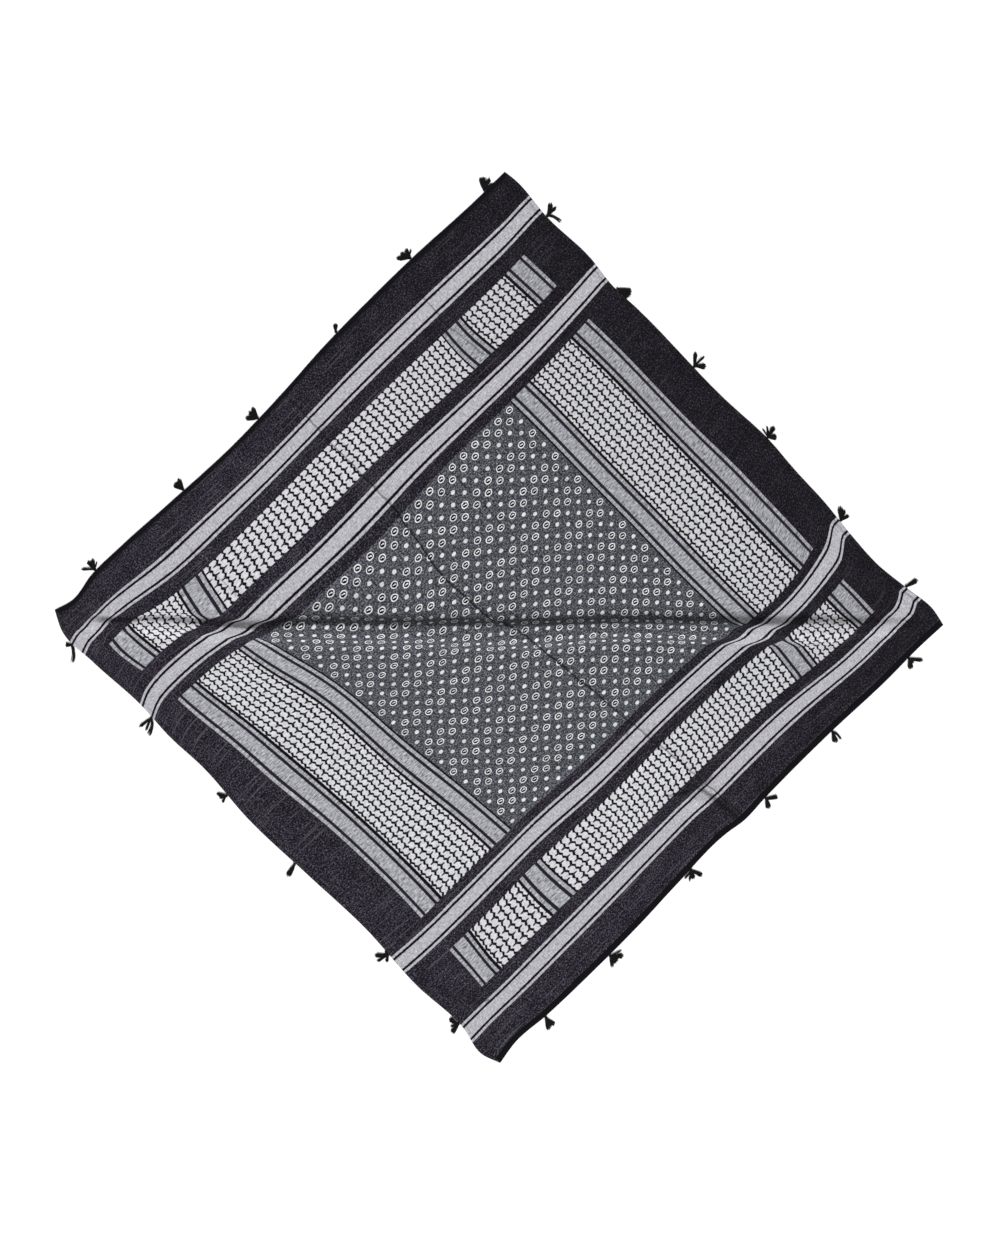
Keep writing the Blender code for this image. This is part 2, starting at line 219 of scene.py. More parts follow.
def laid_plan(rise, fall):
    """Plan of a point: rise and fall along the two diagonal directions, plus corner and edge shifts."""
    x = (rise + fall - 1) * HALF_DIAGONAL
    y = (rise - fall) * HALF_DIAGONAL
    corner_shares = {"left": (1 - rise) * (1 - fall), "top": rise * (1 - fall),
                     "right": rise * fall, "bottom": (1 - rise) * fall}
    for corner, share in corner_shares.items():
        x = x + share * CORNER_SHIFTS[corner][0] * MM
        y = y + share * CORNER_SHIFTS[corner][1] * MM
    edges = {"upper_left": (rise, fall, -1, 1), "upper_right": (fall, 1 - rise, 1, 1),
             "lower_right": (rise, 1 - fall, 1, -1), "lower_left": (fall, rise, -1, -1)}
    for edge, (along, depth, rightward, upward) in edges.items():
        fade = np.clip(1 - depth / WANDER_REACH, 0, 1)**2
        bulge = smooth_table(along, EDGE_WANDER[edge], 1) * MM * fade
        x = x + bulge * rightward * DIAGONAL
        y = y + bulge * upward * DIAGONAL
    return x, y


def long_fold_parts(x, y):
    """Height of the long fold, and the share of its take-in that lies above a place."""
    crest_y, height, crest, upper, lower = (smooth_table(x / MM, LONG_FOLD, column) * MM
                                            for column in range(1, len(LONG_FOLD_COLUMNS)))
    slope = np.where(y > crest_y, upper, lower)
    inside_foot = crest / 2 + slope - np.abs(y - crest_y)
    rise = np.maximum(height, 0) * smoothstep(inside_foot / slope)
    above = (0.5 * smoothstep((y - crest_y - crest / 2) / upper)
             + 0.5 * smoothstep((y - crest_y + crest / 2 + lower) / lower))
    return rise, above


def crease_height(x, y, crease):
    """A rounded crease along a bowed line: a bell across it and a half sine wave along it."""
    start_x, start_y = np.multiply(crease["start"], MM)
    run_x, run_y = np.subtract(crease["end"], crease["start"]) * MM
    length = math.hypot(run_x, run_y)
    along = ((x - start_x) * run_x + (y - start_y) * run_y) / length**2
    across = ((y - start_y) * run_x - (x - start_x) * run_y) / length
    inside = np.clip(along, 0, 1)
    offset = across - 4 * crease["bow"] * MM * inside * (1 - inside)
    fade = np.sin(math.pi * inside)
    return crease["height"] * MM * fade * np.exp(-2 * (offset / (crease["half_width"] * MM))**2)


def relief(x, y, rise, fall):
    """Height of the cloth's underside over the surface, dying away beside the hems."""
    height, _ = long_fold_parts(x, y)
    for row in CREASES:
        height = height + crease_height(x, y, dict(zip(CREASE_COLUMNS, row)))
    depth = np.minimum(np.minimum(rise, 1 - rise), np.minimum(fall, 1 - fall)) * SIDE
    return np.maximum(height, 0) * smoothstep((depth - max(HEM_WIDTHS.values())) / FLAT_MARGIN)


def beside_fold(table, x, from_fold, names):
    """A drift table's value at x and a share of the way out: cubics along x, then across the stations."""
    levels = np.stack([smooth_table(x / MM, table, DRIFT_COLUMNS.index(name)) for name in names]
                      + [np.zeros_like(x)])
    stations = np.array(STATIONS)
    slopes = np.gradient(levels, stations, axis=0)
    left, span, share = stretch_between(stations, from_fold)
    ends = (np.take_along_axis(rows, row[None], axis=0)[0]
            for rows in (levels, slopes) for row in (left, left + 1))
    return eased(share, span, *ends)


def thread_place(rise, fall):
    """Which threads cross at a point, as metres of cloth: its own place less the threads' drift there."""
    flat_x, flat_y = (rise + fall - 1) * HALF_DIAGONAL, (rise - fall) * HALF_DIAGONAL
    crest_y = smooth_table(flat_x / MM, LONG_FOLD, 1) * MM
    reach = np.maximum(HALF_DIAGONAL - np.abs(flat_x), 1e-6)
    from_fold = np.clip(np.abs(flat_y - crest_y) / reach, 0, 1)
    _, above = long_fold_parts(flat_x, flat_y)
    over, under = DRIFT_COLUMNS[4:0:-1], DRIFT_COLUMNS[5:]
    slide, drop = (above * beside_fold(table, flat_x, from_fold, over)
                   + (1 - above) * beside_fold(table, flat_x, from_fold, under) for table in (SLIDE, DROP))
    thread_x, thread_y = flat_x - slide * MM, flat_y + drop * MM
    return tuple(both / math.sqrt(2) + SIDE / 2 for both in (thread_x + thread_y, thread_x - thread_y))


def gather_rows(rise, fall):
    """Slide grid points toward the long fold's crest by a power of their distance, edges unmoved."""
    along = rise + fall - 1
    across = rise - fall
    reach = np.maximum(1 - np.abs(along), 1e-9)
    crest_y = smooth_table(along * HALF_DIAGONAL / MM, LONG_FOLD, 1) * MM
    crest = np.clip(crest_y / HALF_DIAGONAL / reach, -CREST_LIMIT, CREST_LIMIT)
    from_crest = across / reach - crest
    far = np.where(from_crest > 0, 1 - crest, 1 + crest)
    gathered = reach * (crest + np.sign(from_crest) * far * (np.abs(from_crest) / far)**ROW_GATHER)
    return (1 + along + gathered) / 2, (1 + along - gathered) / 2


# --- Meshes from grids ---

def grid_faces(rows, columns, wrap=False):
    """Quads of a grid of points, row by row; with wrap the last column joins the first."""
    row, column = np.meshgrid(np.arange(rows - 1), np.arange(columns if wrap else columns - 1), indexing="ij")
    following = (column + 1) % columns
    return np.stack([row * columns + column, row * columns + following,
                     (row + 1) * columns + following, (row + 1) * columns + column], axis=-1).reshape(-1, 4)


def rows_of(*columns):
    """Grids of numbers side by side, one row for each point."""
    return np.stack(columns, axis=-1).reshape(-1, len(columns))


def make_mesh(name, points, quads, maps=None):
    """A smooth mesh from points and quads, with UV maps given point by point."""
    mesh = bpy.data.meshes.new(name)
    mesh.vertices.add(len(points))
    mesh.vertices.foreach_set("co", np.asarray(points, dtype=np.float32).ravel())
    mesh.loops.add(quads.size)
    mesh.loops.foreach_set("vertex_index", quads.astype(np.int32).ravel())
    mesh.polygons.add(len(quads))
    mesh.polygons.foreach_set("loop_start", np.arange(0, quads.size, 4, dtype=np.int32))
    for map_name, places in (maps or {}).items():
        layer = mesh.uv_layers.new(name=map_name)
        layer.uv.foreach_set("vector", np.asarray(places, dtype=np.float32)[quads.ravel()].ravel())
    mesh.update(calc_edges=True)
    mesh.validate()
    mesh.shade_smooth()
    return mesh


def close_shell(mesh):
    """Fills a mesh's open ends and turns every face outward."""
    shell = bmesh.new()
    shell.from_mesh(mesh)
    bmesh.ops.holes_fill(shell, edges=[edge for edge in shell.edges if edge.is_boundary], sides=0)
    bmesh.ops.recalc_face_normals(shell, faces=shell.faces[:])
    shell.to_mesh(mesh)
    shell.free()


def add_object(name, data):
    """A new object in the scene."""
    made = bpy.data.objects.new(name, data)
    bpy.context.scene.collection.objects.link(made)
    return made


def add_piece(name, mesh, material, slot, *nodes):
    """An object of the scarf: it rides on the one body and stands for its CAD nodes."""
    piece = add_object(name, mesh)
    mesh.materials.append(material)
    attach(piece, "root")
    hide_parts(*nodes)
    return piece


# --- Shader wiring ---

NOWHERE = (0.0, 0.0, 0.0)


class Wiring:
    """Puts nodes into a tree and joins them; a plain number or tuple is set on the socket itself."""

    def __init__(self, tree):
        self.tree = tree

    def join(self, value, socket):
        if isinstance(value, bpy.types.NodeSocket):
            self.tree.links.new(value, socket)
        else:
            socket.default_value = value

    def node(self, kind, inputs=None, **settings):
        """A shader node, its kind without the common prefix, its inputs by name or by number."""
        node = self.tree.nodes.new("ShaderNode" + kind)
        for name, value in settings.items():
            setattr(node, name, value)
        for name, value in (inputs or {}).items():
            self.join(value, node.inputs[name])
        return node

    def math(self, operation, *values, clamp=False):
        return self.node("Math", dict(enumerate(values)), operation=operation, use_clamp=clamp).outputs[0]

    def vector(self, operation, *values):
        output = "Value" if operation in ('DOT_PRODUCT', 'LENGTH') else "Vector"
        return self.node("VectorMath", dict(enumerate(values)), operation=operation).outputs[output]

    def scaled(self, vector, factor):
        return self.node("VectorMath", {0: vector, "Scale": factor}, operation='SCALE').outputs[0]

    def split(self, vector):
        node = self.node("SeparateXYZ", {"Vector": vector})
        return node.outputs["X"], node.outputs["Y"]

    def combined(self, x, y):
        return self.node("CombineXYZ", {"X": x, "Y": y}).outputs["Vector"]

    def group(self, group, inputs):
        return self.node("Group", inputs, node_tree=group).outputs

    def mixed(self, share, base, top, blend='MIX'):
        """Colour base where share is 0, top where it is 1."""
        return self.node("Mix", {0: share, 6: base, 7: top}, data_type='RGBA', blend_type=blend).outputs[2]

    def tinted(self, color, factor):
        """A colour times a grey value."""
        grey = self.node("CombineColor", {"Red": factor, "Green": factor, "Blue": factor})
        return self.mixed(1.0, color, grey.outputs["Color"], blend='MULTIPLY')

    def noise(self, place, scale, detail=2.0, roughness=0.5):
        return self.node("TexNoise", {"Vector": place, "Scale": scale, "Detail": detail,
                                                "Roughness": roughness}).outputs["Fac"]

    def chained(self, operation, values):
        result, *others = values
        for value in others:
            result = self.math(operation, result, value)
        return result

    def plus(self, *values):
        return self.chained('ADD', values)

    def minus(self, *values):
        return self.chained('SUBTRACT', values)

    def times(self, *values):
        return self.chained('MULTIPLY', values)

    def largest(self, *values):
        return self.chained('MAXIMUM', values)

    def smallest(self, *values):
        return self.chained('MINIMUM', values)

    def apart(self, first, second):
        return self.math('ABSOLUTE', self.minus(first, second))

    def finished(self, outputs):
        """Gives a group its named outputs and returns it."""
        for name in outputs:
            self.tree.interface.new_socket(name, in_out="OUTPUT", socket_type="NodeSocketFloat")
        end = self.tree.nodes.new("NodeGroupOutput")
        for name, value in outputs.items():
            self.join(value, end.inputs[name])
        return self.tree


def new_group(name, inputs):
    """The wiring of a new shader node group, and its named inputs."""
    group = bpy.data.node_groups.new(name, "ShaderNodeTree")
    for socket, default in inputs.items():
        kind = "NodeSocketVector" if isinstance(default, tuple) else "NodeSocketFloat"
        group.interface.new_socket(socket, in_out="INPUT", socket_type=kind).default_value = default
    return Wiring(group), group.nodes.new("NodeGroupInput").outputs


def cover(w, distance, softness):
    """1 well inside an outline and 0 well outside it, from the distance outward (mm)."""
    return w.math('SUBTRACT', 0.5, w.math('DIVIDE', distance, softness), clamp=True)


def counted(w, value, start, pitch):
    """A place counted in steps of a pitch from a start."""
    return w.math('DIVIDE', w.minus(value, start), pitch)


def stroke_distance(w, stroke, place, start, end, half_width):
    """Distance (mm) from a place to a stroke between two points in the plan."""
    return w.group(stroke, {"Place": place, "Start": (*start, 0.0), "End": (*end, 0.0),
                            "Half Width": half_width})["Distance"]


def build_stroke_group():
    """Distance to a round-ended stroke: to the nearest point of its middle line, less its half width."""
    w, entry = new_group("woven_stroke", {"Place": NOWHERE, "Start": NOWHERE, "End": (1.0, 0.0, 0.0),
                                          "Half Width": 1.0})
    run, offset = (w.vector('SUBTRACT', entry[name], entry["Start"]) for name in ("End", "Place"))
    along = w.math('DIVIDE', w.vector('DOT_PRODUCT', offset, run), w.vector('DOT_PRODUCT', run, run),
                   clamp=True)
    away = w.vector('LENGTH', w.vector('SUBTRACT', offset, w.scaled(run, along)))
    return w.finished({"Distance": w.minus(away, entry["Half Width"])})


def build_band_group():
    """A wide stripe between two thin ones: cover of light thread by the distance from the middle."""
    w, entry = new_group("striped_band", {"Across": 0.0, "Wide": 20.0, "Gap": 4.0, "Thin": 4.6,
                                          "Softness": 0.6})
    half, thin_half = (w.times(entry[name], 0.5) for name in ("Wide", "Thin"))
    away = w.math('ABSOLUTE', entry["Across"])
    thin_middle = w.plus(half, entry["Gap"], thin_half)
    thin = w.minus(w.apart(away, thin_middle), thin_half)
    distances = {"Light": w.smallest(w.minus(away, half), thin),
                 "Inside": w.minus(away, w.plus(thin_middle, thin_half))}
    return w.finished({name: cover(w, distance, entry["Softness"]) for name, distance in distances.items()})


CHECK_CELL = (12.6, 13.2)  # width and height of the cell that the tooth check's marks are drawn in (mm)
CHECK_BORDER = CHECK_CELL[1] / 2
# The strokes of half a cell: what each is drawn about, its start, end and half-width (mm). A notch
# and its thin link stand on the cell, and a dash with a tail and an arm stands on the row's border.
CHECK_STROKES = (
    ("cell", (0.8, 2.5), (-1.1, 5.0), 1.9),
    ("cell", (0.0, 0.0), (0.6, 2.2), 1.0),
    ("dash", (-1.3, CHECK_BORDER), (1.5, CHECK_BORDER), 1.25),
    ("dash", (-2.8, CHECK_BORDER), (0.0, CHECK_BORDER), 0.65),
    ("dash", (1.2, CHECK_BORDER - 0.6), (4.6, 5.2), 0.85),
)
DASH_BEHIND = 0.42  # how far a dash stands before the cell's middle, as a share of the cell

FIELD_START = (279.6, 289.9)  # the first ring of the field (mm)
FIELD_PITCH = (13.867, 13.34)  # its columns' and rows' pitch (mm)
FIELD_COUNT = 40  # columns, and rows
RING_ROWS = 1.5  # rows 0 and 1 of every four are rings
MOTIF_LEAN = math.radians(50)
MOTIF_SQUEEZE = (0.87, 1.17)  # how the motifs are drawn out along their lean and narrowed across it
RING_RADIUS, RING_HALF_LINE = 5.2, 0.8
PUPIL_RADIUS, DOT_RADIUS = 4.5, 3.5
# The curl inside a ring: start, end and half-width of its strokes (mm)
CURL_STROKES = (((-2.0, -1.1), (1.4, 1.1), 0.65), ((1.0, 1.0), (2.0, 1.0), 1.0))


def build_check_group(stroke):
    """Cover of the tooth check's dark marks, from places counted in columns and rows.

    Rows mirror one another in turn and each row looks the same turned half round, so every place
    is folded into the lower half of one cell.
    """
    w, entry = new_group("tooth_check", {"Columns": 0.0, "Rows": 0.0, "Softness": 0.6})
    width, height = CHECK_CELL
    row = w.math('FLOOR', entry["Rows"])
    mirror = w.minus(1.0, w.times(w.math('FLOORED_MODULO', row, 2.0), 2.0))
    x = w.times(w.minus(w.math('FRACT', entry["Columns"]), 0.5), width)
    y = w.times(w.minus(entry["Rows"], row, 0.5), height)
    x = w.times(x, mirror, w.math('SIGN', y))
    y = w.math('ABSOLUTE', y)
    from_dash = w.plus(x, DASH_BEHIND * width)
    wrapped = w.minus(from_dash, w.times(w.math('ROUND', w.math('DIVIDE', from_dash, width)), width))
    places = {"cell": w.combined(x, y), "dash": w.combined(wrapped, y)}
    marks = (stroke_distance(w, stroke, places[about], *line) for about, *line in CHECK_STROKES)
    return w.finished({"Dark": cover(w, w.smallest(*marks), entry["Softness"])})


def build_motif_group(stroke):
    """The field's motifs, two diagonal rows of rings with a curl inside, then two of dots.

    A motif stands on every other crossing of the field's columns and rows. The nearest one is found
    by rounding in the two diagonal directions, and its shapes are drawn by distance from it.
    """
    w, entry = new_group("ring_and_dot", {"Place": NOWHERE, "Softness": 0.6})
    i, j = (counted(w, *row) for row in zip(w.split(entry["Place"]), FIELD_START, FIELD_PITCH))
    half_sum, half_gap = (w.math('ROUND', w.times(w.minus(both, 1.0), 0.5))
                          for both in (w.plus(i, j), w.minus(i, j)))
    near_i, near_j = w.plus(half_sum, half_gap, 1.0), w.minus(half_sum, half_gap)
    along = w.times(w.minus(i, near_i), FIELD_PITCH[0])
    beside = w.times(w.minus(j, near_j), FIELD_PITCH[1])
    x, y = (w.times(both, DIAGONAL) for both in (w.plus(along, beside), w.minus(along, beside)))
    place = w.combined(x, y)
    chance = w.node("TexWhiteNoise", {"Vector": w.combined(near_i, near_j)}, noise_dimensions='2D').outputs[0]
    is_ring = w.math('LESS_THAN', w.math('FLOORED_MODULO', near_j, 4.0), RING_ROWS)
    # the motif's long way leans to the upper right
    cosine, sine = math.cos(MOTIF_LEAN), math.sin(MOTIF_LEAN)
    long_way = w.plus(w.times(x, cosine), w.times(y, sine))
    short_way = w.minus(w.times(y, cosine), w.times(x, sine))
    radius = w.vector('LENGTH', w.combined(w.times(long_way, MOTIF_SQUEEZE[0]),
                                           w.times(short_way, MOTIF_SQUEEZE[1])))
    line = w.minus(w.apart(radius, RING_RADIUS), RING_HALF_LINE)
    curl = (stroke_distance(w, stroke, place, *part) for part in CURL_STROKES)
    ring = cover(w, w.smallest(line, *curl), entry["Softness"])
    pupil = cover(w, w.minus(radius, PUPIL_RADIUS), entry["Softness"])
    dot = cover(w, w.minus(radius, DOT_RADIUS), w.times(entry["Softness"], 1.3))
    light = w.plus(w.times(ring, is_ring), w.times(dot, w.minus(1.0, is_ring)))
    # only the field's own columns and rows are woven
    middle = (FIELD_COUNT - 1) / 2
    woven = w.math('LESS_THAN', w.largest(w.apart(near_i, middle), w.apart(near_j, middle)), middle + 0.5)
    return w.finished({"Light": w.times(light, woven), "Dark": w.times(pupil, is_ring, woven),
                       "Chance": chance, "Ring": is_ring})


# Noise of the threads: how fine it is each way for a pitch of one, its finer layers and their weight
THREAD_NOISE = {
    "Rising": ((0.22, 1.0, 1.0), 1.0, 0.6),
    "Falling": ((1.0, 0.22, 1.0), 1.0, 0.6),
    "Slub": ((0.02, 0.8, 1.0), 0.0, 0.5),
    "Fleck": ((0.65, 1.0, 1.0), 1.0, 0.6),
}
CLOUD_SCALE = 0.03  # wide clouds of looser and closer weave, to the millimetre


def build_thread_group():
    """Uneven threads both ways: noise drawn out along each direction, with rare long slubs, pale
    flecks where the weave lies open, and wide clouds."""
    w, entry = new_group("cotton_threads", {"Place": NOWHERE, "Pitch": 1.4})
    place = w.scaled(entry["Place"], w.math('DIVIDE', 1.0, entry["Pitch"]))
    threads = {name: w.noise(w.vector('MULTIPLY', place, fineness), 1.0, detail, weight)
               for name, (fineness, detail, weight) in THREAD_NOISE.items()}
    return w.finished({**threads, "Patch": w.noise(entry["Place"], CLOUD_SCALE, 1.0)})


# --- Colours and finishes ---

STUDIO_LIGHT = 1.25  # how much brighter than plain white a white surface would look
SURFACE_GLOSS = 0.008  # light that every surface gives back on top of its colour


def dyed(red, green, blue):
    """Base colour that shows as these display values (0 to 255) under the studio light."""
    shares = [value / 255 for value in (red, green, blue)]
    linear = [share / 12.92 if share <= 0.04045 else ((share + 0.055) / 1.055)**2.4 for share in shares]
    return (*[max(value - SURFACE_GLOSS, 0.0005) / STUDIO_LIGHT for value in linear], 1.0)


COLORS = {name: dyed(*display) for name, display in {
    "margin": (28, 25, 33), "margin_open": (92, 88, 99), "slub": (104, 102, 110), "ink": (25, 23, 28),
    "field": (48, 49, 56), "field_open": (124, 126, 133), "band": (168, 167, 174),
    "band_open": (200, 200, 206), "column": (148, 149, 155), "column_open": (184, 185, 191),
    "column_ink": (42, 38, 48), "check": (216, 216, 221), "check_ink": (22, 21, 25),
    "ring": (242, 242, 246), "dot": (224, 224, 228), "pupil": (15, 14, 18),
    "hem": (24, 23, 27), "yarn": (22, 22, 23)}.items()}

# The design: middle lines and sizes of its bands and columns (mm). Columns are mirrored.
MIDDLE = SIDE / MM / 2
BAND_MIDDLES = (77.7, 243.6, 853.6, 1022.3)
BAND_SIZES = {"Wide": 19.8, "Gap": 4.2, "Thin": 4.4}
OUTER_COLUMN, INNER_COLUMN = 93.4, 243.2
OUTER_SIZES = {"Wide": 20.6, "Gap": 4.9, "Thin": 5.4}
INNER_SIZES = {"Wide": 21.3, "Gap": 5.5, "Thin": 6.1}
CHECK_COLUMN = (119.2, 216.4)  # between an outer and an inner column
LONG_CHECK_START = 268.8
FIELD_EDGE = 268.0  # where the field starts, across

# Tooth check: where it lies down the cloth, where a forward row starts, and its rows' height (mm)
TOP_STRIP = (123.6, 201.3, 147.5, 13.9)
BOTTOM_STRIP = (894.0, 981.0, 923.7, 15.07)
SIDE_BLOCKS = (281.0, 819.0, 459.2, 13.3)
BLOCK_COLUMNS = (117.0, 12.45)  # where a column starts and the columns' pitch, in the blocks
TOP_COLUMNS = (271.1, 14.3)  # and in the top strip's long check
BOTTOM_COLUMNS = (274.4, 14.14)
ROW_BOUNDS = (240.0, 860.0)  # down the cloth: the top strip's rows end, and the bottom strip's start

EDGE_SOFTNESS = 0.6  # width over which one colour gives way to the next (mm)
DRAW_SCALE, DRAW_REACH = 0.30, 1.6  # how closely the design's lines wander (a mm), and how far (mm)
CLOSING_FROM, CLOSING_OVER = 430.0, 650.0  # where the weave starts to close, and over what width


def new_material(name, roughness, sheen):
    """A cotton material: its wiring and its Principled BSDF."""
    material = bpy.data.materials.new(name)
    material.use_nodes = True
    material.node_tree.nodes.clear()
    w = Wiring(material.node_tree)
    cotton = w.node("BsdfPrincipled", {"Roughness": roughness, "Specular IOR Level": 0.15,
                                                 "Sheen Weight": sheen, "Sheen Roughness": 0.5})
    w.node("OutputMaterial", {"Surface": cotton.outputs["BSDF"]})
    return material, w, cotton


def add_finish(w, cotton, color, height, strength, distance):
    """A material's colour, and the fine relief of its threads."""
    bump = w.node("Bump", {"Height": height, "Strength": strength, "Distance": distance})
    w.join(color, cotton.inputs["Base Color"])
    w.join(bump.outputs["Normal"], cotton.inputs["Normal"])


def within(w, value, low, high):
    """Cover of the stretch between two places."""
    return cover(w, w.minus(w.apart(value, (low + high) / 2), (high - low) / 2), EDGE_SOFTNESS)


def beyond(w, value, start):
    """Cover of everything past a place."""
    return cover(w, w.minus(start, value), EDGE_SOFTNESS)


def wandered(w, place, source, scale, detail, reach):
    """A place shifted by up to half a reach each way in the plan, by slow noise."""
    noise = w.node("TexNoise", {"Vector": source, "Scale": scale, "Detail": detail})
    shift = w.vector('SUBTRACT', noise.outputs["Color"], (0.5, 0.5, 0.5))
    return w.vector('ADD', place, w.vector('MULTIPLY', shift, (reach, reach, 0.0)))


def weave_place(w):
    """Place on the cloth in millimetres, from the weave map."""
    return w.scaled(w.node("UVMap", uv_map="weave").outputs["UV"], 1 / MM)


def lay_check(w, group, u, v, u_in):
    """Dark marks of the tooth check, in the blocks and in the long strips.

    The columns are counted from both side edges in the blocks, and straight across in the strips.
    """
    facing = w.minus(1.0, w.times(w.math('GREATER_THAN', u, MIDDLE), 2.0))
    block_columns = w.times(counted(w, u_in, *BLOCK_COLUMNS), facing)
    low = w.math('GREATER_THAN', v, MIDDLE)
    long_columns = w.plus(w.times(counted(w, u, *BOTTOM_COLUMNS), low),
                          w.times(counted(w, u, *TOP_COLUMNS), w.minus(1.0, low)))
    upper, lower = w.math('LESS_THAN', v, ROW_BOUNDS[0]), w.math('GREATER_THAN', v, ROW_BOUNDS[1])
    rows = w.plus(*(w.times(counted(w, v, start, height), zone) for (_, _, start, height), zone in (
        (TOP_STRIP, upper), (BOTTOM_STRIP, lower), (SIDE_BLOCKS, w.minus(1.0, upper, lower)))))
    return (w.group(group, {"Columns": columns, "Rows": rows})["Dark"]
            for columns in (block_columns, long_columns))


def painted_crease_shade(w, stroke):
    """Painted crease shade: how much dark lines painted where shadow falls along the sharp creases darken the
    cloth, from their paths as laid.
    """
    laid = w.node("TexCoord").outputs["Object"]
    spot = wandered(w, w.combined(*w.split(w.scaled(laid, 1 / MM))), laid, WAVER_SCALE, 2.0, WAVER_REACH)
    shades = []
    for path, half_width, edge, dark in CREASE_SHADE_LINES:
        nearest = w.smallest(*(stroke_distance(w, stroke, spot, start, end, half_width)
                               for start, end in zip(path, path[1:])))
        shades.append(w.times(cover(w, nearest, edge), dark))
    return w.largest(*shades)


def make_cloth_material(groups):
    """The woven design on the weave map: margins, bands, columns, tooth check and field, with painted shade
    along the creases.
    """
    material, w, cotton = new_material("woven_cotton", 0.9, 0.04)
    true_place = weave_place(w)
    place = wandered(w, true_place, true_place, DRAW_SCALE, 1.0, DRAW_REACH)
    u, v = w.split(place)
    u_in = w.smallest(u, w.minus(2 * MIDDLE, u))
    threads = w.group(groups["threads"], {"Place": true_place, "Pitch": 2.0})

    # where each part of the design lies
    top_strip, bottom_strip, blocks = (within(w, v, low, high) for low, high, _, _ in (
        TOP_STRIP, BOTTOM_STRIP, SIDE_BLOCKS))
    strips = w.largest(top_strip, bottom_strip)
    between = w.largest(strips, blocks)
    band = w.group(groups["band"], {"Across": w.smallest(*(w.apart(v, line) for line in BAND_MIDDLES)),
                                    **BAND_SIZES})
    outer, inner = (w.group(groups["band"], {"Across": w.minus(u_in, middle), **sizes})
                    for middle, sizes in ((OUTER_COLUMN, OUTER_SIZES), (INNER_COLUMN, INNER_SIZES)))
    column_zone = w.times(w.largest(outer["Inside"], inner["Inside"]), between)
    column_light = w.largest(outer["Light"], inner["Light"])
    block = w.times(within(w, u_in, *CHECK_COLUMN), between)
    long_check = w.times(beyond(w, u_in, LONG_CHECK_START), strips)
    field = w.times(beyond(w, u_in, FIELD_EDGE), blocks)
    block_marks, long_marks = lay_check(w, groups["check"], u, v, u_in)
    motif = w.group(groups["motif"], {"Place": place, "Softness": 0.35})

    def swing(name, share):
        """A share of how far a thread value lies off its mean."""
        return w.times(w.minus(threads[name], 0.5), share)

    def grain(rising, falling):
        """A grey factor around 1 from the threads both ways, by their shares."""
        return w.largest(w.plus(1.0, swing("Rising", rising), swing("Falling", falling)), 0.05)

    def speckled(close, middle, gain):
        """A colour of close weave and its open one, by the flecks."""
        share = w.math('ADD', middle, swing("Fleck", gain), clamp=True)
        return w.mixed(share, COLORS[close], COLORS[close + "_open"])

    def faded(full, amount):
        """A share that shrinks by an amount where the weave closes."""
        return w.minus(full, w.times(closing, amount))

    # the weave closes and darkens toward the upper-right edge, and in wide clouds
    closing = w.math('DIVIDE', w.minus(u, CLOSING_FROM), CLOSING_OVER, clamp=True)
    openness = w.plus(faded(0.12, 0.12), swing("Patch", 0.6))
    light_shade = faded(1.0, 0.14)

    # colours from the ground up: margins, field, bands, columns, tooth check, rings and dots
    slub = w.math('MULTIPLY', w.minus(threads["Slub"], 0.65), 7.0, clamp=True)
    margin = w.tinted(speckled("margin", openness, 4.2), w.times(grain(2.2, 1.9), faded(1.0, 0.44)))
    margin = w.mixed(w.times(slub, faded(0.50, 0.38)), margin, COLORS["slub"])
    ground = w.tinted(speckled("field", 0.34, 5.0), w.times(grain(2.1, 2.1), light_shade))
    color = w.mixed(field, margin, ground)
    color = w.mixed(w.times(within(w, u_in, OUTER_COLUMN, LONG_CHECK_START), between), color, COLORS["ink"])
    light = w.tinted(speckled("band", 0.5, 4.0), grain(0.9, 0.9))
    color = w.mixed(band["Inside"], color, w.mixed(band["Light"], COLORS["ink"], light))
    pale = w.tinted(speckled("column", 0.5, 2.4), w.times(grain(3.0, 0.5), light_shade))
    color = w.mixed(column_zone, color, w.mixed(column_light, COLORS["column_ink"], pale))
    white = w.tinted(COLORS["check"], w.times(grain(0.7, 0.7), light_shade))
    for zone, marks in ((block, block_marks), (long_check, long_marks)):
        color = w.mixed(zone, color, w.mixed(marks, white, COLORS["check_ink"]))
    color = w.mixed(w.times(motif["Dark"], field), color, COLORS["pupil"])
    chance = w.plus(0.84, w.times(motif["Chance"], 0.22))
    dot_light, ring_light = (w.tinted(COLORS[kind], w.times(chance, grain(0.5, 0.5)))
                             for kind in ("dot", "ring"))
    color = w.mixed(w.times(motif["Light"], field), color, w.mixed(motif["Ring"], dot_light, ring_light))
    # painted shade: the cloth is darkened along the sharp creases and hollows, where their shadow falls
    color = w.tinted(color, w.minus(1.0, painted_crease_shade(w, groups["stroke"])))
    add_finish(w, cotton, color, w.times(w.plus(threads["Rising"], threads["Falling"]), 0.45), 0.5, 0.0006)
    return material


def make_hem_material(groups):
    """Near-black turned cotton, with threads both ways."""
    material, w, cotton = new_material("hem_cotton", 0.9, 0.04)
    threads = w.group(groups["threads"], {"Place": weave_place(w), "Pitch": 1.3})
    rising, falling = threads["Rising"], threads["Falling"]
    grain = w.plus(0.6, w.times(rising, 0.5), w.times(falling, 0.3))
    add_finish(w, cotton, w.tinted(COLORS["hem"], grain), w.plus(rising, falling), 0.5, 0.0005)
    return material


def make_yarn_material():
    """Black cotton yarn with a little streaking."""
    material, w, cotton = new_material("tassel_yarn", 0.75, 0.05)
    streak = w.noise(w.node("TexCoord").outputs["Object"], 900.0)
    color = w.tinted(COLORS["yarn"], w.plus(0.6, w.times(streak, 0.9)))
    add_finish(w, cotton, color, streak, 0.4, 0.0003)
    return material


# --- The pieces ---

